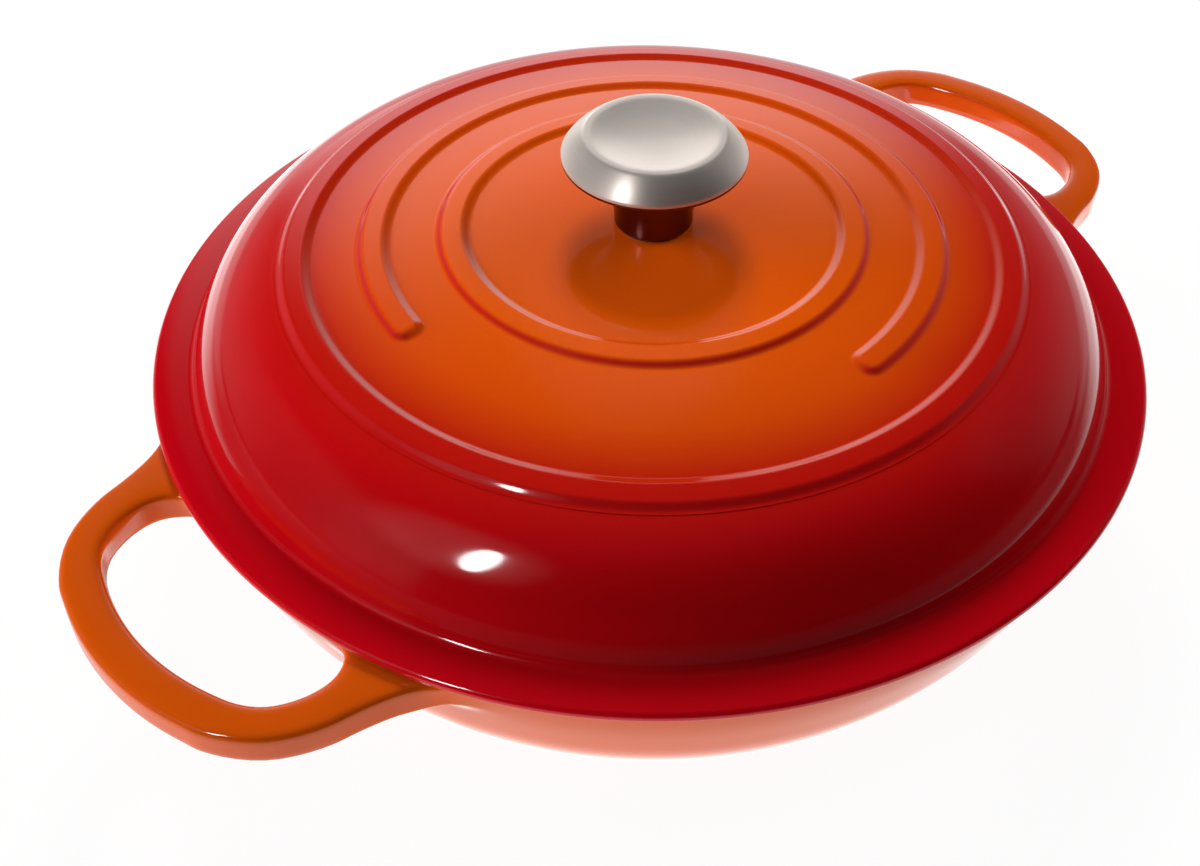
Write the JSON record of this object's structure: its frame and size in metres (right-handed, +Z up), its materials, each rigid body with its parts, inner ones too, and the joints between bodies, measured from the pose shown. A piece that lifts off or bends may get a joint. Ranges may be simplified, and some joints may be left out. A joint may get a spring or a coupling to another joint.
{
  "type": "lidded cast-iron casserole",
  "caption": "Shallow round casserole in enamelled cast iron, with loop handles and a domed, ribbed lid that lifts off by a screwed-on steel knob.",
  "frame": {"origin": "centre of the base, on the table", "axes": "+Z up, +X and -X along the loop handles, +Y across them"},
  "size_m": [0.3996, 0.312, 0.1396],
  "materials": {
    "pot_enamel": "glossy orange enamel on cast iron",
    "lid_enamel": "glossy enamel, orange in the middle and red at the edge, on cast iron",
    "knob_steel": "satin stainless steel",
    "fastener_steel": "bright steel",
    "gasket": "matt heat-proof gasket"
  },
  "bodies": {
    "pot": {"pot": "pot_enamel"},
    "fastener": {"knob_screw": "fastener_steel", "screw_washer": "fastener_steel", "lock_washer": "fastener_steel"},
    "lid": {"lid": "lid_enamel"},
    "gasket": {"knob_gasket": "gasket"},
    "knob": {"knob_cap": "knob_steel", "knob_stem": "knob_steel", "knob_nut": "fastener_steel"}
  },
  "joints": [
    {"name": "lid_lift", "type": "slide", "parent": "pot", "child": "fastener", "axis": [0, 0, 1], "range_m": [0, 0.2]},
    {"name": "lid_turn", "type": "hinge", "parent": "fastener", "child": "lid", "pos_m": [0, 0, 0.1055], "axis": [0, 0, 1], "continuous": true},
    {"name": "knob_climb", "type": "slide", "parent": "fastener", "child": "gasket", "axis": [0, 0, 1], "range_m": [0, 0.0081]},
    {"name": "knob_turn", "type": "hinge", "parent": "gasket", "child": "knob", "pos_m": [0, 0, 0.1083], "axis": [0, 0, 1], "range_deg": [0, 2880]}
  ],
  "couplings": [
    {"joint": "knob_climb", "follows": "knob_turn", "m_per_rad": 0.00015915}
  ]
}
